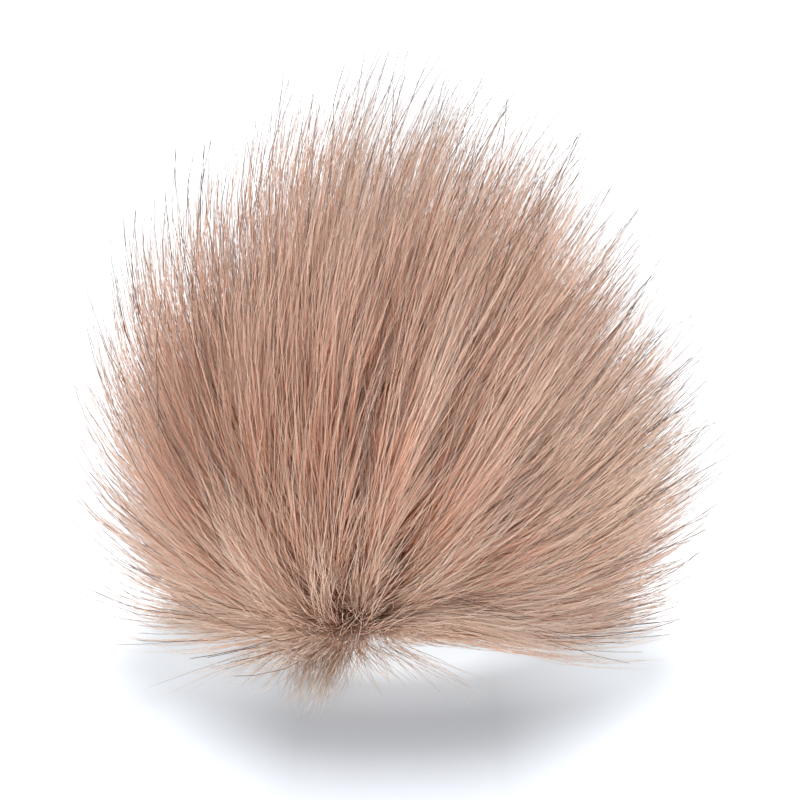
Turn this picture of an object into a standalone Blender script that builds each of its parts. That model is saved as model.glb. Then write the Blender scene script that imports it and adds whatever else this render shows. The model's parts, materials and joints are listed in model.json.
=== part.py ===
"""Faux-fur pom pom, modelled as it lies on a table.

A disc of long-pile fur cloth is gathered into a ball. The gather sits low at the front (-Y), and the
pile is combed away from it: up over the front, out to both sides, and short underneath, where the ball
rests on it. Its ends are brushed up and over to the right. The ball is the backing. Its pile is made of
locks. Each lock is one triangle of the ball's surface, extruded along the comb, so that neighbours run
side by side and never cross.
"""

import math
import random

import bmesh
import bpy
from mathutils import Matrix, Vector

MM = 0.001
SEED = 14

# The gathered ball of cloth under the pile
BALL_RADIUS = 27 * MM
BALL_CENTRE = Vector((0.75, 0, 27)) * MM
GATHER_BELOW_LEVEL = math.radians(62)
GATHER_TO_LEFT = math.radians(25)
GATHER_PULL = 0.75
DIMPLE_DEPTH = 6 * MM
DIMPLE_HALF_ANGLE = math.radians(30)
PUCKER = 0.035
REST_HALF_ANGLE = math.radians(20)
REST_PAD_GAP = 1 * MM

# The pile: how far its tips reach from the ball's centre, by their angle above level
PILE_REACH = (
    # (elevation in degrees, reach in mm)
    (-90, 29),
    (-50, 41),
    (-30, 61),
    (0, 64),
    (30, 71.5),
    (60, 85.5),
    (90, 96),
)
# How far the pile is combed away from the gather between root and tip
COMB = (
    # (root's angle from the gather in degrees, comb in degrees)
    (0, 40),
    (30, 36),
    (60, 30),
    (90, 16),
    (130, 11),
    (180, 0),
)
COMB_BEND = 0.8
# Where the ends of the pile are brushed to, and how strongly
BRUSH_OFF_UPRIGHT = math.radians(50)
BRUSH_TO_BACK = math.radians(30)
BRUSH_PULL = 0.3
PILE_LENGTH = 45 * MM

# One lock, by the share of its length: how much of its own patch of the surface it fills
LOCK_SECTIONS = (
    # (share of length, share of width)
    (0.00, 0.84),
    (0.25, 0.86),
    (0.50, 0.83),
    (0.75, 0.66),
    (1.00, 0.07),
)
LOCK_COUNT = 300
LOCK_LENGTHS = (0.82, 1.01)
LOCK_WIDEST = 12 * MM
LOCK_INSET = 0.5 * MM
LOCK_SWAY = 0.19
FOOT_FILL = 0.5
FOOT_LEVEL = 0.01 * MM
PATH_STEP = 2 * MM
PATH_HALVINGS = 14

GATHER = Vector(
    (
        -math.cos(GATHER_BELOW_LEVEL) * math.sin(GATHER_TO_LEFT),
        -math.cos(GATHER_BELOW_LEVEL) * math.cos(GATHER_TO_LEFT),
        -math.sin(GATHER_BELOW_LEVEL),
    )
)
BRUSHED_TO = Vector(
    (
        math.sin(BRUSH_OFF_UPRIGHT) * math.cos(BRUSH_TO_BACK),
        math.sin(BRUSH_OFF_UPRIGHT) * math.sin(BRUSH_TO_BACK),
        math.cos(BRUSH_OFF_UPRIGHT),
    )
)
DOWN = Vector((0, 0, -1))


def clear_scene():
    for obj in list(bpy.data.objects):
        bpy.data.objects.remove(obj, do_unlink=True)


def from_table(table, at):
    """The second column's value at a place in the first column, on straight lines between the rows."""
    for (low, first), (high, last) in zip(table, table[1:]):
        if at <= high:
            return first + (last - first) * (at - low) / (high - low)
    return table[-1][1]


def turned_from(pole, direction, turn):
    """The direction, swung away from the pole by an angle."""
    axis = pole.cross(direction)
    return Matrix.Rotation(turn, 3, axis) @ direction


def drawn_to(pole, direction, pull):
    """Crowds directions towards the pole, for a pull under 1, without changing their small shapes."""
    angle = pole.angle(direction)
    drawn = 2 * math.atan(pull * math.tan(angle / 2))
    return turned_from(pole, direction, drawn - angle)


def ball_radius(direction):
    """The radius of the gathered ball, which the thread draws in at the gather."""
    angle = GATHER.angle(direction)
    if angle >= DIMPLE_HALF_ANGLE:
        return BALL_RADIUS
    return BALL_RADIUS - DIMPLE_DEPTH * math.cos(angle / DIMPLE_HALF_ANGLE * math.pi / 2) ** 2


def comb_direction(root, height):
    """Which way from the ball's centre the pile of a root direction stands, at a height above the ball."""
    comb = math.radians(from_table(COMB, math.degrees(GATHER.angle(root))))
    rise = (height / PILE_LENGTH) ** COMB_BEND
    return drawn_to(BRUSHED_TO, turned_from(GATHER, root, comb * rise), 1 / (1 + BRUSH_PULL * rise))


def pile_point(root, height):
    return BALL_CENTRE + comb_direction(root, height) * (ball_radius(root) + height)


def is_inside(root, height, length):
    """Whether the pile of a root direction is still above the table and short of its reach."""
    direction = comb_direction(root, height)
    elevation = math.degrees(math.asin(max(-1, min(1, direction.z))))
    tip_reach = from_table(PILE_REACH, elevation) * MM * length
    return pile_point(root, height).z > 0 and ball_radius(root) + height < tip_reach


def end_height(root, length):
    """The height above the ball at which the pile of a root direction ends."""
    low = 0
    while is_inside(root, low + PATH_STEP, length):
        low += PATH_STEP
    high = low + PATH_STEP
    for _ in range(PATH_HALVINGS):
        middle = (low + high) / 2
        if is_inside(root, middle, length):
            low = middle
        else:
            high = middle
    return low


def middle_of(points):
    return sum(points, Vector()) / len(points)


def lock_section(patch, sway, length, along, width):
    """The corners of a lock at a share of its length: its patch of the ball, shrunk and combed."""
    middle = middle_of(patch)
    centre = middle + sway * (1 - width)
    roots = [(centre + (corner - middle) * width).normalized() for corner in patch]
    points = [pile_point(root, end_height(root, length) * along) for root in roots]
    mean = middle_of(points)
    half_width = max((point - mean).length for point in points)
    shrink = min(1, LOCK_WIDEST / 2 / half_width)
    return [mean + (point - mean) * shrink for point in points]


def place(face, points):
    for vert, point in zip(face.verts, points):
        vert.co = point


def grow_lock(bm, face, patch, sway, length):
    """Extrudes one inset face of the ball, section by section, into a lock with a level foot or a tip."""
    foot = lock_section(patch, sway, length, 1, FOOT_FILL)
    stands = max(point.z for point in foot) < FOOT_LEVEL
    for along, width in LOCK_SECTIONS:
        if along > 0:
            face = bmesh.ops.extrude_discrete_faces(bm, faces=[face])["faces"][0]
        place(face, lock_section(patch, sway, length, along, width))
    if stands:
        place(face, [Vector((point.x, point.y, 0)) for point in foot])


def press_rest_pad(bm, faces):
    """Carries the pile right under the ball down to the table as one small flat spot."""
    bmesh.ops.inset_region(bm, faces=faces, thickness=REST_PAD_GAP, use_even_offset=True)
    grown = bmesh.ops.extrude_face_region(bm, geom=faces)["geom"]
    bmesh.ops.delete(bm, geom=faces, context="FACES")
    for vert in [item for item in grown if isinstance(item, bmesh.types.BMVert)]:
        root = (vert.co - BALL_CENTRE).normalized()
        landed = pile_point(root, end_height(root, 1))
        vert.co = (landed.x, landed.y, 0)


def build_ball():
    """The gathered ball and its locks as one closed mesh."""
    rng = random.Random(SEED)
    bm = bmesh.new()
    bmesh.ops.create_icosphere(bm, subdivisions=3, radius=1)
    for vert in bm.verts:
        pucker = Vector([rng.uniform(-PUCKER, PUCKER) for _ in range(3)])
        vert.co = drawn_to(GATHER, (vert.co + pucker).normalized(), GATHER_PULL)
    patches = {face: [vert.co.copy() for vert in face.verts] for face in bm.faces}

    rest_faces = [face for face in bm.faces if face.calc_center_median().angle(DOWN) < REST_HALF_ANGLE]
    covered = [face for face in bm.faces if face not in rest_faces]
    covered.sort(key=lambda face: -GATHER.angle(face.calc_center_median()))
    lock_faces = covered[:LOCK_COUNT]

    for vert in bm.verts:
        vert.co = pile_point(vert.co, 0)
    bmesh.ops.inset_individual(bm, faces=lock_faces, thickness=LOCK_INSET)
    for face in lock_faces:
        patch = patches[face]
        sway = sum(((corner - patch[0]) * rng.uniform(-1, 1) for corner in patch[1:]), Vector())
        grow_lock(bm, face, patch, sway * LOCK_SWAY, rng.uniform(*LOCK_LENGTHS))
    press_rest_pad(bm, rest_faces)
    return bm


def fur_material():
    material = bpy.data.materials.new("rose_tan_fur")
    material.use_nodes = True
    shader = material.node_tree.nodes["Principled BSDF"]
    shader.inputs["Base Color"].default_value = (0.42, 0.25, 0.18, 1)
    shader.inputs["Roughness"].default_value = 0.75
    shader.inputs["Metallic"].default_value = 0
    return material


def main():
    clear_scene()
    bm = build_ball()
    mesh = bpy.data.meshes.new("gathered_fur_ball")
    bm.to_mesh(mesh)
    bm.free()
    mesh.materials.append(fur_material())
    mesh.shade_smooth()
    mesh.set_sharp_from_angle(angle=math.radians(50))

    parts = bpy.data.collections.new("pom_pom")
    bpy.context.scene.collection.children.link(parts)
    parts.objects.link(bpy.data.objects.new("gathered_fur_ball", mesh))


main()
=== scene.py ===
# %% [markdown]
# # A faux-fur pom pom, hair by hair
#
# The real object is a disc of long-pile fur cloth, gathered on a thread into a ball. Nothing of it is
# visible but its pile: tens of thousands of fibres that all run away from the gather, low at the front.
# This lesson grows that pile as real geometry. Each fibre is a thin tapering tube, and all of them are
# built at once from arrays, because a Python loop over every fibre would take minutes.

# %% The frame: the imported solids
import json
import math

import bmesh
import bpy
import numpy as np
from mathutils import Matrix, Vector
from mathutils.kdtree import KDTree

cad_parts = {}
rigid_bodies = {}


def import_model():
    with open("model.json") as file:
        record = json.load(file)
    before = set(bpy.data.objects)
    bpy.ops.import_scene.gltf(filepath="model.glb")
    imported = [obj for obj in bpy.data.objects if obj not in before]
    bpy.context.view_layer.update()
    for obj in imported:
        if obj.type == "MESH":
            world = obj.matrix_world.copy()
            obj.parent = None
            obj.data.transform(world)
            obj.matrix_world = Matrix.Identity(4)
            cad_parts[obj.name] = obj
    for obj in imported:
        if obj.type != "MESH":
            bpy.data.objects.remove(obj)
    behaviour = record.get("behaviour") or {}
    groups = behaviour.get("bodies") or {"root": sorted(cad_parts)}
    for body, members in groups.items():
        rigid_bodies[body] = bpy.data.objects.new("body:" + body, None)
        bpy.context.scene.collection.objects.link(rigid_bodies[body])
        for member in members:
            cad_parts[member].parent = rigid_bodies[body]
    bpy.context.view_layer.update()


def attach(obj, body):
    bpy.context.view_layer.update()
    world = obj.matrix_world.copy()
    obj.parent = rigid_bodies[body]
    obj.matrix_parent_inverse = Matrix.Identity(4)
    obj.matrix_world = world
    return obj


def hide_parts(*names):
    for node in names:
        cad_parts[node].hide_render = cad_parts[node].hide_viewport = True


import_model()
MM = 0.001
SOLID = "gathered_fur_ball"

# %% [markdown]
# ## The lie of the pile
#
# Hair on a pom pom looks combed because every fibre bends the same way as its neighbours. So the
# whole pile follows one rule, which takes a root (a direction from the ball's centre) and a height above
# the ball and says where the fibre has got to. It swings away from the gather as it rises. Fibres that
# follow one smooth rule stay side by side, while fibres placed one by one would cross and look like hay.
# The sizes are those of the solids: the ball, the gather's direction and the reach of the tips. All the
# sums are done on whole arrays, in which the last axis is x, y and z.

# %% Sizes that the pile shares with the solids
BALL_CENTRE = np.array((0.75, 0, 27)) * MM
BALL_RADIUS = 27 * MM
GATHER_BELOW_LEVEL = math.radians(62)
GATHER_TO_LEFT = math.radians(25)
GATHER_PULL = 0.75
DIMPLE_DEPTH = 6 * MM
DIMPLE_HALF_ANGLE = math.radians(30)
PILE_LENGTH = 45 * MM
COMB_BEND = 0.8
BRUSH_OFF_UPRIGHT = math.radians(50)
BRUSH_TO_BACK = math.radians(30)
BRUSH_PULL = 0.3

# elevation seen from the ball's centre in degrees, reach of the tips in mm
REACH = np.array(((-90, 29), (-50, 41), (-30, 61), (0, 64), (30, 71.5), (60, 85.5), (90, 96)))
# root's angle from the gather in degrees, comb in degrees
COMB = np.array(((0, 40), (30, 36), (60, 30), (90, 16), (130, 11), (180, 0)))

GATHER = np.array(
    (
        -math.cos(GATHER_BELOW_LEVEL) * math.sin(GATHER_TO_LEFT),
        -math.cos(GATHER_BELOW_LEVEL) * math.cos(GATHER_TO_LEFT),
        -math.sin(GATHER_BELOW_LEVEL),
    )
)
BRUSHED_TO = np.array(
    (
        math.sin(BRUSH_OFF_UPRIGHT) * math.cos(BRUSH_TO_BACK),
        math.sin(BRUSH_OFF_UPRIGHT) * math.sin(BRUSH_TO_BACK),
        math.cos(BRUSH_OFF_UPRIGHT),
    )
)
print("the gather points", GATHER.round(2), "and the pile is brushed to", BRUSHED_TO.round(2))


# %% Small vector helpers
ALMOST_ZERO = 1e-12


def unit(vectors):
    return vectors / np.maximum(np.linalg.norm(vectors, axis=-1, keepdims=True), ALMOST_ZERO)


def angle_from(pole, directions):
    return np.arccos(np.clip(directions @ pole, -1, 1))


def at_angle_from(pole, directions, angles):
    """The directions, swung about the pole's sideways axis until they stand at these angles from it."""
    across = unit(directions - (directions @ pole)[..., None] * pole)
    return np.cos(angles)[..., None] * pole + np.sin(angles)[..., None] * across


def drawn_to(pole, directions, pull):
    """The directions, crowded towards a pole (pull under 1) without changing their small shapes."""
    return at_angle_from(pole, directions, 2 * np.arctan(pull * np.tan(angle_from(pole, directions) / 2)))


def smooth(low, high, values):
    """0 below low, 1 above high, and a soft S between them."""
    share = np.clip((values - low) / (high - low), 0, 1)
    return share * share * (3 - 2 * share)


print("a quarter of the way up, the soft step has reached", smooth(0, 1, 0.25))


# %% The rule that every fibre follows
def combed(roots, heights, comb_share=1.0):
    """Directions and distances from the ball's centre of the pile of these roots, at these heights."""
    angle = angle_from(GATHER, roots)
    comb = np.radians(np.interp(np.degrees(angle), *COMB.T)) * comb_share
    rise = (heights / PILE_LENGTH) ** COMB_BEND
    directions = at_angle_from(GATHER, roots, angle + comb * rise)
    directions = drawn_to(BRUSHED_TO, directions, 1 / (1 + BRUSH_PULL * rise))
    near = np.clip(angle / DIMPLE_HALF_ANGLE, 0, 1)
    return directions, BALL_RADIUS - DIMPLE_DEPTH * np.cos(near * math.pi / 2) ** 2 + heights


def reach(directions):
    elevation = np.degrees(np.arcsin(np.clip(directions[..., 2], -1, 1)))
    return np.interp(elevation, *REACH.T) * MM


AHEAD = np.array(((0, -1, 0),))
ahead_at_tip = combed(AHEAD, np.array((PILE_LENGTH,)))[0][0]
print("the hair of a root that looks straight ahead is combed to", ahead_at_tip.round(2))


# %% [markdown]
# ## Resting on the table
#
# The pile under the ball has nowhere to go, so it is pressed flat and pushed outwards. A quadratic curve
# does this: it leaves every height above PRESSED_FROM alone, and it brings a fibre that would sink as
# far below the table down to exactly zero, level with the table, with no kink on the way. In one place,
# a little to the right of the gather, the pile parts and its lower edge stands off the table.

# %% Pressing the lowest fibres
PRESSED_FROM = 12 * MM
PRESSED_SPREAD = 0.5
TABLE_GAP = 0.25 * MM
# where the pile parts: its direction, half width, start and end, rise, and how fast it fades upwards
PARTED_TO_RIGHT = math.radians(18)
PARTED_WITHIN = math.radians(38)
PARTED_FROM = (14 * MM, 40 * MM)
PARTED_LIFT = 11 * MM
PARTED_BELOW = 16 * MM


def pressed(points):
    sunk = np.clip(PRESSED_FROM - points[..., 2], 0, 2 * PRESSED_FROM)
    lift = sunk**2 / (4 * PRESSED_FROM)
    outward = points - BALL_CENTRE
    outward[..., 2] = 0
    lifted = points + unit(outward) * (PRESSED_SPREAD * lift)[..., None]
    lifted[..., 2] = np.maximum(points[..., 2], -PRESSED_FROM) + lift
    lifted[..., 2] += parted_lift(lifted)
    lifted[..., 2] = np.maximum(lifted[..., 2], TABLE_GAP)
    return lifted


def parted_lift(points):
    """How far the pile stands off the table where it parts, a little to the right of the gather."""
    outward = points - BALL_CENTRE
    off = np.arctan2(outward[..., 0], -outward[..., 1]) - PARTED_TO_RIGHT
    here = 1 - smooth(0, PARTED_WITHIN, np.abs(off))
    out = smooth(*PARTED_FROM, np.hypot(outward[..., 0], outward[..., 1]))
    return PARTED_LIFT * here * out * np.exp(-np.maximum(points[..., 2], 0) / PARTED_BELOW)


BEHIND_AND_SUNK = np.array((0, 50, -5)) * MM
print("5 mm under the table at the back comes to", pressed(BEHIND_AND_SUNK).round(4))


# %% Where each fibre ends
HEIGHT_STEPS = np.arange(0, 84, 1.0) * MM
LONGEST_PAST_REACH = 8.6 * MM
BATCHES = 12


def end_heights(roots, lengths, comb_share):
    """The height at which each fibre has its share of the reach, or lies flat on the table."""
    heights = np.broadcast_to(HEIGHT_STEPS, (len(roots), len(HEIGHT_STEPS)))
    ends = np.zeros(len(roots))
    for part in np.array_split(np.arange(len(roots)), BATCHES):
        directions, distances = combed(roots[part][:, None, :], heights[part], comb_share[part][:, None])
        solid_reach = reach(directions)
        farthest = solid_reach + LONGEST_PAST_REACH
        inside = distances < np.minimum(solid_reach * lengths[part][:, None], farthest)
        inside &= BALL_CENTRE[2] + directions[..., 2] * distances > -PRESSED_FROM
        ends[part] = HEIGHT_STEPS[np.argmin(inside, axis=1)]
    return ends


print("hair that starts straight ahead stands", end_heights(AHEAD, np.ones(1), np.ones(1)) / MM, "mm high")


# %% [markdown]
# ## Roots and locks
#
# A fibre is never alone. The pile is knitted in, a bundle at each stitch, so that dark lines show
# between the bundles near their roots, and the bundles loosen into even fur further out. Static draws
# them together again into wider locks near their tips. Roots are spread evenly with the golden angle,
# which looks natural and never leaves bald lines, and crowd towards the gather where the thread pulls
# the cloth together. The thread also draws the cloth into pleats, which part the hair over the front.
# Each fibre starts close to the middle of its bundle, here called a wisp, and leans towards the middle
# of its lock as it rises.

# %% Roots spread over the ball
GOLDEN_ANGLE = math.pi * (3 - math.sqrt(5))


def spread_directions(count, rng, unevenness=1.0):
    """Directions spread evenly over a sphere, then crowded towards the gather."""
    index = np.arange(count) + 0.5
    level = 1 - 2 * index / count
    turn = index * GOLDEN_ANGLE
    across = np.sqrt(1 - level**2)
    even = np.stack((across * np.cos(turn), across * np.sin(turn), level), axis=-1)
    even = unit(even + rng.normal(0, unevenness / math.sqrt(count), even.shape))
    return drawn_to(GATHER, even, GATHER_PULL)


def nearest(points, targets):
    """For each point, the index of the nearest target."""
    tree = KDTree(len(targets))
    for index, target in enumerate(targets):
        tree.insert(target, index)
    tree.balance()
    return np.array([tree.find(point)[1] for point in points])


# %% Pleats
PLEATS = 19
CREST_SHIFT = 0.3
PLEATED_TO = (math.radians(55), math.radians(110))
PLEATED_IN_FRONT = (-0.1, 0.5)
rng = np.random.default_rng(29)
PLEAT_CRESTS = (np.arange(PLEATS) + rng.uniform(-CREST_SHIFT, CREST_SHIFT, PLEATS)) * 2 * math.pi / PLEATS
PLEAT_PULLS = rng.uniform(0.15, 0.6, PLEATS)


def pleated(roots):
    """The roots, crowded on to crests that run out from the gather over the front."""
    across = unit(np.cross(GATHER, (0, 0, 1)))
    ahead = np.cross(GATHER, across)
    turn = np.arctan2(roots @ ahead, roots @ across)
    off = (turn[:, None] - PLEAT_CRESTS + math.pi) % (2 * math.pi) - math.pi
    crest = np.abs(off).argmin(axis=1)
    off = off[np.arange(len(roots)), crest]
    angle = angle_from(GATHER, roots)
    pull = PLEAT_PULLS[crest] * (1 - smooth(*PLEATED_TO, angle)) * smooth(*PLEATED_IN_FRONT, -roots[:, 1])
    turn = PLEAT_CRESTS[crest] + off * (1 - pull)
    sideways = np.cos(turn)[:, None] * across + np.sin(turn)[:, None] * ahead
    return np.cos(angle)[:, None] * GATHER + np.sin(angle)[:, None] * sideways


print(PLEATS, "pleats, which pull by", PLEAT_PULLS.min().round(2), "to", PLEAT_PULLS.max().round(2))


# %% Locks and wisps, each with its own length, tone and pull
LOCK_COUNT = 260
WISP_COUNT = 2600
CLUMPED = 1.6
LOCKS = spread_directions(LOCK_COUNT, rng, CLUMPED)
WISPS = spread_directions(WISP_COUNT, rng, CLUMPED)
lock_length = rng.normal(1, 0.065, len(LOCKS))
lock_tone = rng.normal(0, 1, len(LOCKS))
lock_draw = rng.uniform(0.05, 0.35, len(LOCKS))
lock_sway = rng.normal(0, 0.035, (len(LOCKS), 3))
wisp_length = rng.normal(1, 0.03, len(WISPS))
wisp_tone = rng.normal(0, 1, len(WISPS))
wisp_draw = rng.uniform(0.3, 0.85, len(WISPS))
print(len(LOCKS), "locks,", len(WISPS), "wisps")

# %% [markdown]
# ## From root to path
#
# Each fibre's root is nudged as it rises: towards its wisp and its lock, by a slow drift that its
# neighbours share, and by a small bend of its own. The path then follows from the rule above, so all
# of these stay small corrections to one common lie. Close to the gather a small nudge would turn a fibre
# right round it, so all but the first fade out there. Some of the fibres in the gather's eye are hardly
# combed at all, and they close it.

# %% A slow drift that neighbours share
DRIFTS = 5
DRIFT_FINENESS = 3.2
DRIFT_SIZE = 0.03
DRIFT_WAVES = rng.normal(0, DRIFT_FINENESS, (DRIFTS, 3))
DRIFT_PHASES = rng.uniform(0, 2 * math.pi, DRIFTS)
DRIFT_WAYS = rng.normal(0, 1, (DRIFTS, 3))


def drift(roots):
    waves = np.sin(roots @ DRIFT_WAVES.T + DRIFT_PHASES)
    return waves @ DRIFT_WAYS / DRIFTS


print("at the gather the pile drifts by", (drift(GATHER) * DRIFT_SIZE).round(3))


# %% Paths of a set of fibres
CALM_WITHIN = math.radians(75)
CALMEST = 0.15
LOOSE_WITHIN = (math.radians(8), math.radians(34))
LOOSEST = 0.8
COMB_SPREAD = 0.05
WISP_LOOSENS = 0.75
BEND_POWER = 1.6


def fibre_paths(roots, lengths, shares, rng, draw, own_bend):
    """The paths of fibres as an array of (fibre, point, xyz), and each one's lock and wisp."""
    lock = nearest(roots, LOCKS)
    wisp = nearest(roots, WISPS)
    lengths = lengths * lock_length[lock] * wisp_length[wisp]
    angle = angle_from(GATHER, roots)
    loose = LOOSEST * rng.random(len(roots)) * (1 - smooth(*LOOSE_WITHIN, angle))
    comb_share = rng.normal(1, COMB_SPREAD, len(roots)) * (1 - loose)
    rise = np.asarray(shares)[None, :, None]
    stray = CALMEST + (1 - CALMEST) * smooth(0, CALM_WITHIN, angle)[:, None]
    bend = rng.normal(0, own_bend, (len(roots), 3)) * stray
    to_wisp = (WISPS[wisp] - roots) * wisp_draw[wisp][:, None] * draw
    to_lock = ((LOCKS[lock] - roots) * lock_draw[lock][:, None] + lock_sway[lock]) * draw * stray
    swept = to_lock + drift(roots) * DRIFT_SIZE * stray
    moved = roots[:, None, :] + to_wisp[:, None, :] * (1 - WISP_LOOSENS * rise) + swept[:, None, :] * rise
    moved = unit(moved + bend[:, None, :] * rise**BEND_POWER)
    heights = end_heights(roots, lengths, comb_share)[:, None] * rise[..., 0]
    directions, distances = combed(moved, heights, comb_share[:, None])
    return pressed(BALL_CENTRE + directions * distances[..., None]), lock, wisp


# %% [markdown]
# ## Fibres as tubes
#
# Blender has hair curves, but only meshes are carried into an export, so each fibre is a tube of three
# sides, drawn to a point at both ends. Three sides with smooth shading look round at this size, and a
# closed tube has a true inside and outside. The arrays below hold the corners and faces of all the
# tubes at once, and foreach_set hands them to the mesh.
#
# Each tube also gets a map: across it lies the fibre's own tone, and along it the way from root to tip.
# The material reads its colours from that map alone, so fibres that overlap on it agree.

# %% The corners and faces of tubes
SIDES = 3
OFF_PARALLEL = 1e-4


def tube_faces(points):
    """The corner numbers of one tube's triangles: a fan at its root, bands between rings, and its tip."""
    last = 1 + (points - 2) * SIDES
    faces = [(0, 1 + (side + 1) % SIDES, 1 + side) for side in range(SIDES)]
    for ring in range(points - 3):
        for side in range(SIDES):
            low = 1 + ring * SIDES + side
            other = 1 + ring * SIDES + (side + 1) % SIDES
            faces += [(low, other, other + SIDES), (low, other + SIDES, low + SIDES)]
    return faces + [(last - SIDES + side, last - SIDES + (side + 1) % SIDES, last) for side in range(SIDES)]


def tube_corners(paths, widths, rng):
    """Corners of all the tubes: the root, a ring at each point between, and the tip."""
    along = unit(np.gradient(paths, axis=1))
    away = unit(paths - BALL_CENTRE)
    side = unit(np.cross(along, away + OFF_PARALLEL))
    up = np.cross(side, along)
    angles = rng.uniform(0, 2 * math.pi, (len(paths), 1, 1)) + np.arange(SIDES) * 2 * math.pi / SIDES
    ring = np.cos(angles)[..., None] * side[:, :, None, :] + np.sin(angles)[..., None] * up[:, :, None, :]
    rings = paths[:, :, None, :] + ring * widths[..., None, None] / 2
    rings = rings[:, 1:-1].reshape(len(paths), -1, 3)
    return np.concatenate((paths[:, :1, :], rings, paths[:, -1:, :]), axis=1)


print("a tube through 5 points has", len(tube_faces(5)), "triangles")


# %% Joining tubes into one mesh
TONE_STRIP = 0.004
MAP_MARGIN = 0.01


def fibre_mesh(name, paths, widths, tones, shares, rng, fade_from):
    """One object that holds every fibre of a set. Its roots are coloured as the pile is at fade_from."""
    count, points = paths.shape[:2]
    corners = tube_corners(paths, widths, rng)
    corners[..., 2] = np.maximum(corners[..., 2], TABLE_GAP / 2)
    faces = np.array(tube_faces(points))
    loops = faces.ravel()
    per_tube = corners.shape[1]
    offsets = np.arange(count)[:, None]

    mesh = bpy.data.meshes.new(name)
    mesh.vertices.add(count * per_tube)
    mesh.vertices.foreach_set("co", corners.astype(np.float32).ravel())
    mesh.loops.add(count * len(loops))
    mesh.loops.foreach_set("vertex_index", (loops + offsets * per_tube).astype(np.int32).ravel())
    mesh.polygons.add(count * len(faces))
    mesh.polygons.foreach_set("loop_start", np.arange(count * len(faces), dtype=np.int32) * 3)
    mesh.update(calc_edges=True)
    mesh.shade_smooth()

    ring_of = np.clip((loops + SIDES - 1) // SIDES, 0, points - 1)
    at_end = (loops == 0) | (loops == per_tube - 1)
    across = np.where(at_end, 0.5, ((loops - 1) % SIDES) / (SIDES - 1)) - 0.5
    tone_map = np.empty((count, len(loops), 2), np.float32)
    tone_map[..., 0] = np.clip(tones, MAP_MARGIN, 1 - MAP_MARGIN)[:, None] + across * TONE_STRIP
    fade_from = np.broadcast_to(fade_from, count)[:, None]
    along = fade_from + (1 - fade_from) * np.asarray(shares)[ring_of]
    tone_map[..., 1] = along * (1 - 2 * MAP_MARGIN) + MAP_MARGIN
    mesh.uv_layers.new(name="OFBake").data.foreach_set("uv", tone_map.ravel())

    piece = bpy.data.objects.new(name, mesh)
    bpy.context.scene.collection.objects.link(piece)
    print(name, count, "fibres", count * len(faces), "triangles")
    return piece


# %% [markdown]
# ## Shader maths as Python
#
# A material is a graph of nodes, and wiring one by hand hides the sum that it works out. The two small
# classes below let an expression such as tone * 0.5 + 0.2 add its own Math nodes.

# %% A link between nodes
class Link:
    """An output of a node. Arithmetic on it adds Math nodes."""

    def __init__(self, finish, socket):
        self.finish = finish
        self.socket = socket

    def __add__(self, other):
        return self.finish.maths("ADD", self, other)

    __radd__ = __add__

    def __mul__(self, other):
        return self.finish.maths("MULTIPLY", self, other)

    __rmul__ = __mul__

    def __sub__(self, other):
        return self.finish.maths("SUBTRACT", self, other)

    def __rsub__(self, other):
        return self.finish.maths("SUBTRACT", other, self)

    def __abs__(self):
        return self.finish.maths("ABSOLUTE", self)


# %% A finish: the nodes behind a material
class Finish:
    """The node tree behind a material, or behind the world round it."""

    def __init__(self, owner, surface="Principled BSDF"):
        owner.use_nodes = True
        self.owner = owner
        self.tree = owner.node_tree
        self.surface = self.tree.nodes[surface]

    def node(self, kind, settings=None, sockets=None, output=0):
        """Adds a node: its settings first, then the values or links of its sockets."""
        made = self.tree.nodes.new(kind)
        for name, value in (settings or {}).items():
            if name == "stops":
                self.set_stops(made.color_ramp, value)
            else:
                setattr(made, name, value)
        self.fill(made, sockets or {})
        return Link(self, made.outputs[output])

    def maths(self, operation, *values):
        return self.node("ShaderNodeMath", {"operation": operation}, dict(enumerate(values)))

    def curve(self, value, stops):
        """A value read off straight lines between stops of (value, result), for results up to 1."""
        greys = [(position, (grey, grey, grey)) for position, grey in stops]
        return self.node("ShaderNodeValToRGB", {"stops": greys}, {"Fac": value})

    def fill(self, node, sockets):
        for name, value in sockets.items():
            if isinstance(value, Link):
                self.tree.links.new(value.socket, node.inputs[name])
            else:
                node.inputs[name].default_value = value

    @staticmethod
    def set_stops(ramp, stops):
        while len(ramp.elements) < len(stops):
            ramp.elements.new(1)
        for element, (position, colour) in zip(ramp.elements, stops):
            element.position = position
            element.color = (*colour, 1)


# %% [markdown]
# ## The colour of the fur
#
# Acrylic fur of this kind is a blend: most fibres are rose-tan, some are brown and some nearly cream.
# Each fibre is painted a warm red-brown at its root, as painted shade where light reaches it only through
# its neighbours, and paler and greyer towards its tip, as painted light shining through the thin tips.
# Two ramps hold this, one for the fibre's tone and one for the painted shade and light along it, and they
# are multiplied. Worn tips all look alike, so the tone is evened out towards them.
# The long dark hairs are stiffer and keep their tone to the end, so they have a finish of their own.

# %% The fur's finish
TONES = (
    # (tone, colour)
    (0.0, (0.05, 0.033, 0.028)),
    (0.3, (0.80, 0.50, 0.375)),
    (0.6, (1.0, 0.755, 0.62)),
    (1.0, (1.0, 0.94, 0.74)),
)
ROOT_SHADE_TO_TIP_LIGHT = (
    # (share of length, tint: painted shade at the root, painted light at the tip)
    (0.0, (0.36, 0.10, 0.05)),
    (0.3, (1.0, 0.53, 0.33)),
    (0.65, (0.93, 0.79, 0.72)),
    (1.0, (0.60, 0.71, 0.74)),
)
MIDDLE_TONE = 0.52
TONE_LOST_AT_TIP = 0.85
ROUGHEST = 0.66
ROUGHNESS_LOST_TO_TONE = 0.12
SHINE = 0.25


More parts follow.
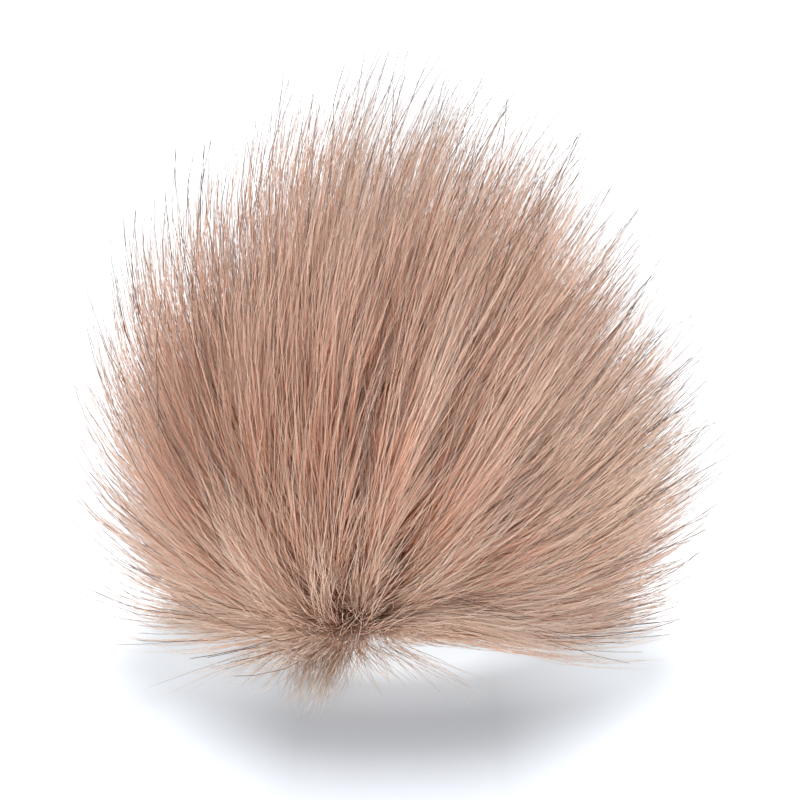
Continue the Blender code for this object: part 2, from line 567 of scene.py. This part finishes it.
def fur_finish(name, lost_at_tip):
    finish = Finish(bpy.data.materials.new(name))
    place = finish.node("ShaderNodeUVMap", {"uv_map": "OFBake"})
    tone = finish.node("ShaderNodeSeparateXYZ", None, {"Vector": place}, output=0)
    along = finish.node("ShaderNodeSeparateXYZ", None, {"Vector": place}, output=1)
    evened = MIDDLE_TONE + (tone - MIDDLE_TONE) * (1 - along * along * lost_at_tip)
    dye = finish.node("ShaderNodeValToRGB", {"stops": TONES}, {"Fac": evened})
    # the painted shade at the root and the painted light towards the tip
    fade = finish.node("ShaderNodeValToRGB", {"stops": ROOT_SHADE_TO_TIP_LIGHT}, {"Fac": along})
    colour = finish.node(
        "ShaderNodeMix",
        {"data_type": "RGBA", "blend_type": "MULTIPLY"},
        {"Factor": 1.0, "A": dye, "B": fade},
        output="Result",
    )
    finish.fill(
        finish.surface,
        {
            "Base Color": colour,
            "Roughness": ROUGHEST - tone * ROUGHNESS_LOST_TO_TONE,
            "Specular IOR Level": SHINE,
        },
    )
    return finish.owner


FUR = fur_finish("rose_tan_fur", TONE_LOST_AT_TIP)
DARK_HAIR = fur_finish("dark_hair", 0.0)
print("the fur's finish has", len(FUR.node_tree.nodes), "nodes")


# %% What every set of fibres gets
def dress(piece, material=FUR):
    """Gives a piece its finish, makes it ride on the one body, and hides the solid ball that it stands in
    for.
    """
    piece.data.materials.append(material)
    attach(piece, "root")
    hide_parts(SOLID)
    return piece


def tapering(shares, thick_until, tip):
    """A fibre's width by the way along it: full to thick_until, then thinner to the tip."""
    return 1 - (1 - tip) * np.clip((np.asarray(shares) - thick_until) / (1 - thick_until), 0, 1)


print("shares of a fibre's width at its root, middle and tip:", tapering((0, 0.5, 1), 0.35, 0.3).round(2))


# %% [markdown]
# ## The pile
#
# Most of the hair is the pile itself. Its lengths are far from equal, which is what makes the outline of
# real fur soft: it thins out instead of stopping. A gamma curve gives that: few fibres are very short,
# most are middling, and a long tail reaches further.

# %% Uneven lengths
LONGEST = 1.16
LONG_FROM = 0.85
LENGTH_SHAPE = 2.1
# each for the fibres that grow low on the ball, and for those that grow on top of it
SHORTEST = (0.6, 0.52)
LENGTH_SPREAD = (0.085, 0.09)
LONG_ONES = (0.01, 0.14)
ON_TOP = (-0.1, 0.7)


def uneven_lengths(rng, roots):
    """Shares of the reach: few fibres are much shorter than the rest, and a long tail is longer."""
    on_top = smooth(*ON_TOP, roots[:, 2])
    shortest, spread, long_ones = (
        low + (high - low) * on_top for low, high in (SHORTEST, LENGTH_SPREAD, LONG_ONES)
    )
    lengths = shortest + spread * rng.gamma(LENGTH_SHAPE, 1, len(roots))
    is_long = rng.random(len(roots)) < long_ones
    lengths = np.where(is_long, rng.uniform(LONG_FROM, LONGEST, len(roots)), lengths)
    return np.clip(lengths, shortest, LONGEST)


print("lengths run from", min(SHORTEST), "to", LONGEST, "of the reach")


# %% [markdown]
# ## Tones of the blend
#
# A blend is never even. Each fibre has a tone of its own, which is shifted with its lock and its wisp, so
# that neighbours are alike. A few wisps are painted paler, as painted highlights along the locks, and a few
# darker, as painted shade in the partings. In some places the whole blend is shifted, such as the painted
# shade at the upper left and the painted highlights in streaks on the right.

# %% Tones of the pile
FIBRE_TONE = 0.52
# of single fibres, of locks and of wisps
TONE_SPREAD = (0.045, 0.035, 0.025)
# some wisps carry a painted highlight (a paler tone), and some a painted shade (a darker tone) for the
# partings
HIGHLIGHT_WISPS = 0.05
HIGHLIGHT_SHIFT = 0.3
SHADED_WISPS = 0.07
SHADE_SHIFT = -0.22
wisp_kind = rng.random(len(WISPS))
shade_or_even = np.where(wisp_kind > 1 - SHADED_WISPS, SHADE_SHIFT, 0)
wisp_highlight_and_shade = np.where(wisp_kind < HIGHLIGHT_WISPS, HIGHLIGHT_SHIFT, shade_or_even)
PAINTED_SHADE_AND_HIGHLIGHTS = (
    # (centre in mm, radius in mm, shift of the tone: painted shade below zero, painted highlight above)
    ((-27, -44, 54), 28, -0.5),
    ((47, -25, 36), 22, 0.26),
    ((-29, -50, 26), 9, 0.28),
    ((12, -50, 58), 8, 0.2),
    ((34, -42, 57), 9, 0.25),
)


def pile_tones(rng, lock, wisp, middles):
    """Each fibre's tone: its own, shifted with its lock and wisp, plus painted shade and highlights on some
    wisps and places.
    """
    own, of_lock, of_wisp = TONE_SPREAD
    tones = FIBRE_TONE + own * rng.normal(size=len(lock))
    for centre, radius, shift in PAINTED_SHADE_AND_HIGHLIGHTS:
        off = np.linalg.norm(middles - np.array(centre) * MM, axis=1) / (radius * MM)
        tones += shift * np.exp(-off * off)
    return tones + of_lock * lock_tone[lock] + of_wisp * wisp_tone[wisp] + wisp_highlight_and_shade[wisp]


print((wisp_highlight_and_shade > 0).sum(), "wisps are blond and", (wisp_highlight_and_shade < 0).sum(), "are dark")


# %% [markdown]
# ## Growing a set
#
# One mesh of all the hair would be too heavy to handle, so each set of fibres is cut into gores, as a
# ball is: one mesh for each sixth round the upright axis. Next to the gather the roots show. They are
# coloured as hair is further out, because no pile stands over them there to keep the light off.

# %% Growing a set of fibres, gore by gore
GORES = 6
PILE_BEND = 0.035
WIDTH_RANGE = (0.65, 1.2)
# how far along its length the colour of a root at the gather is taken from, and how near the gather is
PALE_AT_GATHER = 0.55
PALE_WITHIN = (math.radians(18), math.radians(58))


def gores_of(roots):
    """Which sixth of the ball, counted round its upright axis, each root is in."""
    around = np.arctan2(roots[:, 1], roots[:, 0]) / (2 * math.pi) + 0.5
    return (around * GORES).astype(int) % GORES


def grow_in_gores(name, roots, lengths, shares, rng, width, taper, draw=1.0, own_bend=PILE_BEND):
    """Grows a set of fibres as one mesh for each sixth of the ball."""
    paths, lock, wisp = fibre_paths(roots, lengths, shares, rng, draw, own_bend)
    tones = pile_tones(rng, lock, wisp, paths[:, -2])
    widths = width * rng.uniform(*WIDTH_RANGE, (len(roots), 1)) * tapering(shares, *taper)
    pale_roots = PALE_AT_GATHER * (1 - smooth(*PALE_WITHIN, angle_from(GATHER, roots)))
    gore = gores_of(roots)
    for number in range(GORES):
        part = gore == number
        piece = fibre_mesh(
            f"{name}_{number + 1}", paths[part], widths[part], tones[part], shares, rng, pale_roots[part]
        )
        dress(piece)


print("the gather is in gore", gores_of(GATHER[None, :])[0] + 1, "of", GORES)


# %% Roots of the pile
DOWN = np.array((0, 0, -1))
UNDER_WITHIN = math.radians(40)


def pile_roots(count, rng, kept_under):
    """Roots all over the ball, thinner where it is pressed against the table."""
    roots = spread_directions(count, rng)
    under = angle_from(DOWN, roots) < UNDER_WITHIN
    return pleated(roots[~under | (rng.random(count) < kept_under)])


# %% [markdown]
# ## The thick fibres
#
# Fibres that grow near the gather lie bent over the front, so they have more points than those at the
# back, which stand nearly straight.

# %% Growing the thick fibres
PILE_FIBRES = 15000
PILE_KEPT_UNDER = 0.7
PILE_WIDTH = 0.18 * MM
PILE_TAPER = (0.35, 0.3)
FRONT_WITHIN = math.radians(95)
FRONT_SHARES = (0, 0.25, 0.5, 0.78, 1)
BACK_SHARES = (0, 0.35, 0.7, 1)


def grow_pile():
    rng = np.random.default_rng(41)
    roots = pile_roots(PILE_FIBRES, rng, PILE_KEPT_UNDER)
    front = angle_from(GATHER, roots) < FRONT_WITHIN
    for name, chosen, shares in (("front", front, FRONT_SHARES), ("back", ~front, BACK_SHARES)):
        some = roots[chosen]
        lengths = uneven_lengths(rng, some)
        grow_in_gores(f"pile_{name}", some, lengths, shares, rng, PILE_WIDTH, PILE_TAPER)


grow_pile()

# %% [markdown]
# ## Fine fibres
#
# Thick fibres alone look like straw. Real fur is mostly much finer hair, too fine to be told apart,
# which is what makes it look soft. Only its outer half shows, so each fine fibre starts inside the
# pile and has as few points as its bend allows, and there can be several times as many.

# %% Fine fibres
FINE_FIBRES = 64000
FINE_BENT_WITHIN = math.radians(58)
FINE_BENT_SHARES = (0.2, 0.5, 0.78, 1)
FINE_SHARES = (0.38, 0.7, 1)
FINE_WIDTH = 0.15 * MM
FINE_TAPER = (0.7, 0.5)
FINE_KEPT_UNDER = 0.5
FINE_LONGER = 0.02
FINE_DRAW = 0.5
FINE_BEND = 0.07


def grow_fine_fibres():
    rng = np.random.default_rng(43)
    roots = pile_roots(FINE_FIBRES, rng, FINE_KEPT_UNDER)
    bent = angle_from(GATHER, roots) < FINE_BENT_WITHIN
    for name, chosen, shares in (("front", bent, FINE_BENT_SHARES), ("back", ~bent, FINE_SHARES)):
        some = roots[chosen]
        lengths = uneven_lengths(rng, some) + FINE_LONGER
        grow_in_gores(
            f"fine_{name}", some, lengths, shares, rng, FINE_WIDTH, FINE_TAPER, FINE_DRAW, FINE_BEND
        )


grow_fine_fibres()

# %% [markdown]
# ## The eye of the gather
#
# The fine fibres start inside the pile, so none of them covers the place that all the hair is combed
# away from. There the cloth would show as a dark hole. Fibres that are followed from their very roots
# close it, as the short crowded pile round a real gather does.

# %% The eye of the gather
EYE_FIBRES = 9000
EYE_WITHIN = math.radians(38)
EYE_SHARES = (0, 0.2, 0.45, 0.75, 1)


def close_the_eye():
    rng = np.random.default_rng(44)
    roots = spread_directions(EYE_FIBRES, rng)
    roots = roots[angle_from(GATHER, roots) < EYE_WITHIN]
    grow_in_gores("eye", roots, uneven_lengths(rng, roots), EYE_SHARES, rng, FINE_WIDTH, FINE_TAPER)


close_the_eye()

# %% [markdown]
# ## Guard hairs and the tuft at the gather
#
# Guard hairs are dark, stiffer and longer than the rest. They stand singly past the soft edge, and some
# have a kink near the tip. They take the same paths as the pile, with more points for the kink and less
# pull towards their neighbours. Below the gather, where the cloth's edge is drawn in, a tuft escapes and
# runs forward on the table. No rule of the ball holds there, so its fibres get a plan of their own: a
# start at the gather, a fan of directions, and ends at uneven distances. About half lie in one pale
# lock, the rest fan out on both sides of it, and a few of those are dark.

# %% Guard hairs
GUARD_HAIRS = 1500
GUARD_SHARES = (0.2, 0.45, 0.7, 0.88, 0.985, 1)
# the shortest, the most usual and the longest, as shares of the reach
GUARD_LENGTHS = (0.88, 1.02, 1.16)
LONGER_ON_TOP = 0.05
GUARD_DRAW = 0.3
GUARD_BEND = 0.1
GUARD_WIDTH = 0.17 * MM
GUARD_WIDTH_RANGE = (0.7, 1.2)
GUARD_TAPER = (0.7, 0.7)
GUARD_TONE = 0.09
GUARD_TONE_SPREAD = 0.04
KINKED = 0.3
KINK_FROM = GUARD_SHARES[2]
KINK_OVER = 0.1
KINK = np.array((1.2, 1.2, 0.12)) * MM


def grow_guard_hairs():
    rng = np.random.default_rng(47)
    roots = spread_directions(GUARD_HAIRS, rng)
    on_top = smooth(*ON_TOP, roots[:, 2])
    lengths = rng.triangular(*GUARD_LENGTHS, GUARD_HAIRS) + LONGER_ON_TOP * on_top
    paths = fibre_paths(roots, lengths, GUARD_SHARES, rng, GUARD_DRAW, GUARD_BEND)[0]
    kink = rng.uniform(-1, 1, (GUARD_HAIRS, 3)) * KINK
    kink *= rng.random((GUARD_HAIRS, 1)) < KINKED
    after = np.clip(np.array(GUARD_SHARES) - KINK_FROM, 0, None) / KINK_OVER
    paths = pressed(paths + kink[:, None, :] * after[None, :, None])
    tones = rng.normal(GUARD_TONE, GUARD_TONE_SPREAD, GUARD_HAIRS)
    widths = GUARD_WIDTH * rng.uniform(*GUARD_WIDTH_RANGE, (GUARD_HAIRS, 1))
    widths = widths * tapering(GUARD_SHARES, *GUARD_TAPER)
    dress(fibre_mesh("guard_hairs", paths, widths, tones, GUARD_SHARES, rng, 0), DARK_HAIR)


grow_guard_hairs()

# %% Where the tuft's fibres lie
TUFT_FIBRES = 460
TUFT_SHARES = (0, 0.12, 0.3, 0.6, 0.85, 1)
TUFT_START = np.array((-11, -13, 3.5)) * MM
# half of its width, and how many times that the outermost fibres may start to the side
TUFT_SPREAD = 6.5 * MM
TUFT_WIDEST = 1.8
TUFT_TURN = math.radians(13)
# how far forward its fibres end: the farthest, the most usual and the nearest
TUFT_ENDS = (-76 * MM, -60 * MM, -36 * MM)
TUFT_ENDS_SOONER = (0.7, 1)
TUFT_BOW = 0.9 * MM
TUFT_FLOOR = (0.5 * MM, 3 * MM)
# its pale lock: the half width, the turn to the left, and how far it narrows
LOCK_SPREAD = 4.4 * MM
LOCK_TURN = math.radians(4)
LOCK_NARROWS = 0.5


def tuft_paths(rng, in_lock):
    """The tuft's fibres seen from above, a fan of nearly straight lines, and how they sink to the table."""
    sideways = np.clip(rng.normal(size=TUFT_FIBRES), -TUFT_WIDEST, TUFT_WIDEST)
    sideways *= np.where(in_lock, LOCK_SPREAD, TUFT_SPREAD)
    turn = np.where(
        in_lock,
        rng.normal(-LOCK_TURN, LOCK_TURN / 3, TUFT_FIBRES),
        rng.normal(0, TUFT_TURN / 2, TUFT_FIBRES) + sideways / TUFT_SPREAD * TUFT_TURN,
    )
    ends = rng.triangular(*TUFT_ENDS, TUFT_FIBRES)
    ends = np.where(in_lock, ends, ends * rng.uniform(*TUFT_ENDS_SOONER, TUFT_FIBRES))
    share = np.array(TUFT_SHARES)[None, :]
    forward = TUFT_START[1] + (ends - TUFT_START[1])[:, None] * share
    gathered = sideways[:, None] * (1 - LOCK_NARROWS * share * in_lock[:, None])
    bow = rng.normal(0, TUFT_BOW, (TUFT_FIBRES, 1)) * np.sin(share * math.pi)
    x = TUFT_START[0] + gathered - (forward - TUFT_START[1]) * np.tan(turn)[:, None] + bow
    floor = rng.uniform(*TUFT_FLOOR, (TUFT_FIBRES, 1))
    z = floor + (TUFT_START[2] * rng.random((TUFT_FIBRES, 1)) - floor) * (1 - share) ** 2
    return np.stack((x, forward, np.maximum(z, TABLE_GAP)), axis=-1)


# %% The tuft below the gather
LOCK_SHARE = 0.45
TUFT_DARK = 0.14
# the tuft is paler than the pile: partly its own pale colour, partly painted light against the shade of the
# ball over it; its colour also starts far along the root-to-tip ramp, so it skips the painted root shade
TUFT_TONE = FIBRE_TONE + 0.3
TUFT_TONE_SPREAD = 0.08
TUFT_FADE_FROM = 0.7
TUFT_WIDTH = 0.12 * MM
TUFT_WIDTH_RANGE = (0.7, 1.2)
TUFT_TAPER = (0.35, 0.25)


def grow_gather_tuft():
    rng = np.random.default_rng(53)
    in_lock = rng.random(TUFT_FIBRES) < LOCK_SHARE
    paths = tuft_paths(rng, in_lock)
    dark = ~in_lock & (rng.random(TUFT_FIBRES) < TUFT_DARK)
    tones = np.where(dark, GUARD_TONE, rng.normal(TUFT_TONE, TUFT_TONE_SPREAD, TUFT_FIBRES))
    widths = TUFT_WIDTH * rng.uniform(*TUFT_WIDTH_RANGE, (TUFT_FIBRES, 1))
    widths = widths * tapering(TUFT_SHARES, *TUFT_TAPER)
    for name, part, material in (("gather_tuft", ~dark, FUR), ("tuft_dark_hairs", dark, DARK_HAIR)):
        piece = fibre_mesh(name, paths[part], widths[part], tones[part], TUFT_SHARES, rng, TUFT_FADE_FROM)
        dress(piece, material)


grow_gather_tuft()

# %% [markdown]
# ## The gathered cloth
#
# Deep between the fibres the backing cloth shows in warm dark gaps. It is a ball that follows the same
# rule and the same press against the table. A fine noise gives it the grain of a knitted ground, which
# is too small and too deep to be worth any stitches.

# %% The ball of cloth
CLOTH_PROUD = 0.5 * MM


def cloth_ball():
    bm = bmesh.new()
    bmesh.ops.create_icosphere(bm, subdivisions=5, radius=1)
    directions = unit(np.array([vert.co[:] for vert in bm.verts]))
    turned, distances = combed(directions, np.zeros(len(directions)))
    points = pressed(BALL_CENTRE + turned * (distances + CLOTH_PROUD)[:, None])
    for vert, point in zip(bm.verts, points):
        vert.co = point
    mesh = bpy.data.meshes.new("cloth_ball")
    bm.to_mesh(mesh)
    bm.free()
    mesh.shade_smooth()
    piece = bpy.data.objects.new("cloth_ball", mesh)
    bpy.context.scene.collection.objects.link(piece)
    return piece


# %% The cloth's finish
CLOTH_GRAIN = 900.0
CLOTH_BROWNS = ((0.3, (0.42, 0.20, 0.12)), (0.7, (0.55, 0.28, 0.18)))
CLOTH_ROUGHNESS = 0.9


def cloth_finish():
    finish = Finish(bpy.data.materials.new("fur_backing"))
    grain = finish.node("ShaderNodeTexNoise", None, {"Scale": CLOTH_GRAIN, "Detail": 3.0}, output="Fac")
    brown = finish.node("ShaderNodeValToRGB", {"stops": CLOTH_BROWNS}, {"Fac": grain})
    finish.fill(finish.surface, {"Base Color": brown, "Roughness": CLOTH_ROUGHNESS})
    return finish.owner


ball = dress(cloth_ball(), cloth_finish())
print("cloth_ball has", len(ball.data.polygons), "faces")

# %% [markdown]
# ## The light table
#
# The pom pom lies on a light table, as small goods do in a studio. Its top glows a little round the
# fur and out to both sides, which keeps the underside bright and the shadow narrow. The glow is read off
# two ramps, one by the distance from the pom pom's foot and one by the distance to either side.

# %% The table
TABLE_HALF = 12.0
TABLE_SPECK = 40.0
TABLE_WHITES = ((0.0, (0.26, 0.268, 0.288)), (1.0, (0.27, 0.278, 0.298)))
TABLE_ROUGHNESS = 0.8
# the share of GLOW_STRENGTH by the distance in metres from a point under the front of the pom pom
GLOW_CENTRE = (0.003, -0.008, 0)
GLOW_ROUND = ((0.02, 0.36), (0.036, 0.172), (0.06, 0.0875))
# and by the distance to either side
GLOW_AT_SIDES = ((0.02, 0), (0.045, 0.13))
GLOW_COLOUR = (0.89, 0.95, 1.0)
GLOW_STRENGTH = 2.5


def table_top():
    bpy.ops.mesh.primitive_plane_add(size=2 * TABLE_HALF)
    piece = bpy.context.object
    piece.name = "table_top"
    finish = Finish(bpy.data.materials.new("table_white"))
    speck = finish.node("ShaderNodeTexNoise", None, {"Scale": TABLE_SPECK}, output="Fac")
    place = finish.node("ShaderNodeTexCoord", output="Object")
    off = finish.node("ShaderNodeVectorMath", {"operation": "SUBTRACT"}, {0: place, 1: GLOW_CENTRE})
    distance = finish.node("ShaderNodeVectorMath", {"operation": "LENGTH"}, {0: off}, output="Value")
    aside = abs(finish.node("ShaderNodeSeparateXYZ", None, {"Vector": off}, output=0))
    glow = finish.curve(distance, GLOW_ROUND) + finish.curve(aside, GLOW_AT_SIDES)
    tinted = finish.node("ShaderNodeValToRGB", {"stops": ((0, (0, 0, 0)), (1, GLOW_COLOUR))}, {"Fac": glow})
    finish.fill(
        finish.surface,
        {
            "Base Color": finish.node("ShaderNodeValToRGB", {"stops": TABLE_WHITES}, {"Fac": speck}),
            "Roughness": TABLE_ROUGHNESS,
            "Emission Color": tinted,
            "Emission Strength": GLOW_STRENGTH,
        },
    )
    piece.data.materials.append(finish.owner)
    return piece


table = table_top()
print("the table is", 2 * TABLE_HALF, "m wide, so that its edge is never seen")


# %% [markdown]
# ## Light
#
# Fur needs broad soft light from the viewer's side, or its countless edges turn it dark. So it is lit by
# a white surround with two large soft boxes in front, painted into the world by direction alone. A lamp
# that lights the table and nothing else stands far behind and throws the soft shadow forwards, so that
# the soft edge of the pile isn't burnt out. A small warm lamp low in front reaches the gather, which the
# pile above it shades. Light linking decides which pieces each lamp reaches.

# %% The lamp behind
# from which side (0 in front, 90 on the right) and how high, in degrees
LAMP_BEHIND = (179, 52)
LAMP_SPREAD = 32
LAMP_STRENGTH = 9.4


def towards(from_side, elevation):
    side, up = math.radians(from_side), math.radians(elevation)
    return Vector((math.cos(up) * math.sin(side), -math.cos(up) * math.cos(side), math.sin(up)))


def lamp_behind():
    """A lamp far behind that lights the table alone, so that the pile's soft edge stays soft."""
    data = bpy.data.lights.new("lamp_behind", "SUN")
    data.angle = math.radians(LAMP_SPREAD)
    data.energy = LAMP_STRENGTH
    lamp = bpy.data.objects.new("lamp_behind", data)
    lamp.rotation_euler = towards(*LAMP_BEHIND).to_track_quat("Z", "Y").to_euler()
    bpy.context.scene.collection.objects.link(lamp)
    lit_from_behind = bpy.data.collections.new("lit_from_behind")
    lit_from_behind.objects.link(table)
    lamp.light_linking.receiver_collection = lit_from_behind


lamp_behind()

# %% The low lamp in front
LOW_LAMP_AT = Vector((-60, -500, 20)) * MM
LOW_LAMP_AIM = Vector((-8, -20, 5)) * MM
LOW_LAMP_CONE = 11
LOW_LAMP_RADIUS = 0.03
LOW_LAMP_POWER = 9.0
LOW_LAMP_COLOUR = (1.0, 0.88, 0.78)


def low_lamp():
    """A small warm lamp that brightens the gather, and lights everything but the table."""
    data = bpy.data.lights.new("low_lamp", "SPOT")
    data.spot_size = math.radians(LOW_LAMP_CONE)
    data.spot_blend = 1.0
    data.shadow_soft_size = LOW_LAMP_RADIUS
    data.energy = LOW_LAMP_POWER
    data.color = LOW_LAMP_COLOUR
    lamp = bpy.data.objects.new("low_lamp", data)
    lamp.location = LOW_LAMP_AT
    lamp.rotation_euler = (LOW_LAMP_AT - LOW_LAMP_AIM).to_track_quat("Z", "Y").to_euler()
    bpy.context.scene.collection.objects.link(lamp)
    lit_in_front = bpy.data.collections.new("lit_in_front")
    for piece in bpy.context.scene.objects:
        if piece.type == "MESH" and piece != table:
            lit_in_front.objects.link(piece)
    lamp.light_linking.receiver_collection = lit_in_front


low_lamp()

# %% The surround and its soft boxes
SURROUND_COLOUR = (0.97, 0.985, 1.0, 1)
SURROUND_STRENGTH = 0.62
SOFT_BOXES = ((-14, 3), (42, 12))
SOFT_BOX_STRENGTH = (3.25, 1.25)
# no light from a box beyond 50 degrees off its middle, all of it within 18
SOFT_BOX_EDGE = ((math.cos(math.radians(50)), 0), (math.cos(math.radians(18)), 1))


def bright_surround():
    """The white surround, and two large soft boxes in it, one on each side of the camera."""
    world = bpy.data.worlds.new("studio")
    finish = Finish(world, "Background")
    way = finish.node("ShaderNodeTexCoord", output="Generated")
    strength = SURROUND_STRENGTH
    for box, box_strength in zip(SOFT_BOXES, SOFT_BOX_STRENGTH):
        facing = finish.node(
            "ShaderNodeVectorMath", {"operation": "DOT_PRODUCT"}, {0: way, 1: towards(*box)}, output="Value"
        )
        strength = strength + box_strength * finish.curve(facing, SOFT_BOX_EDGE)
    finish.fill(finish.surface, {"Color": SURROUND_COLOUR, "Strength": strength})
    bpy.context.scene.world = world


bright_surround()
bpy.context.scene.view_settings.view_transform = "Standard"

# %% [markdown]
# ## The camera
#
# A long lens, a little above level, keeps the ball round and the hairs that point forwards short. The
# lens follows from how wide a strip the frame shows at the camera's distance.

# %% The camera
VIEW_ELEVATION = math.radians(10)
VIEW_DISTANCE = 0.65
VIEW_WIDTH = 173.6 * MM
LOOKED_AT = Vector((3.3, 0, 52)) * MM

camera_data = bpy.data.cameras.new("camera")
camera_data.sensor_width = 36
camera_data.lens = camera_data.sensor_width * VIEW_DISTANCE / VIEW_WIDTH
camera_data.clip_end = 50
camera = bpy.data.objects.new("camera", camera_data)
back = Vector((0, -math.cos(VIEW_ELEVATION), math.sin(VIEW_ELEVATION)))
camera.location = LOOKED_AT + back * VIEW_DISTANCE
camera.rotation_euler = (-back).to_track_quat("-Z", "Y").to_euler()
bpy.context.scene.collection.objects.link(camera)
bpy.context.scene.camera = camera
print("the camera has a lens of", round(camera_data.lens), "mm and stands at", camera.location[:])
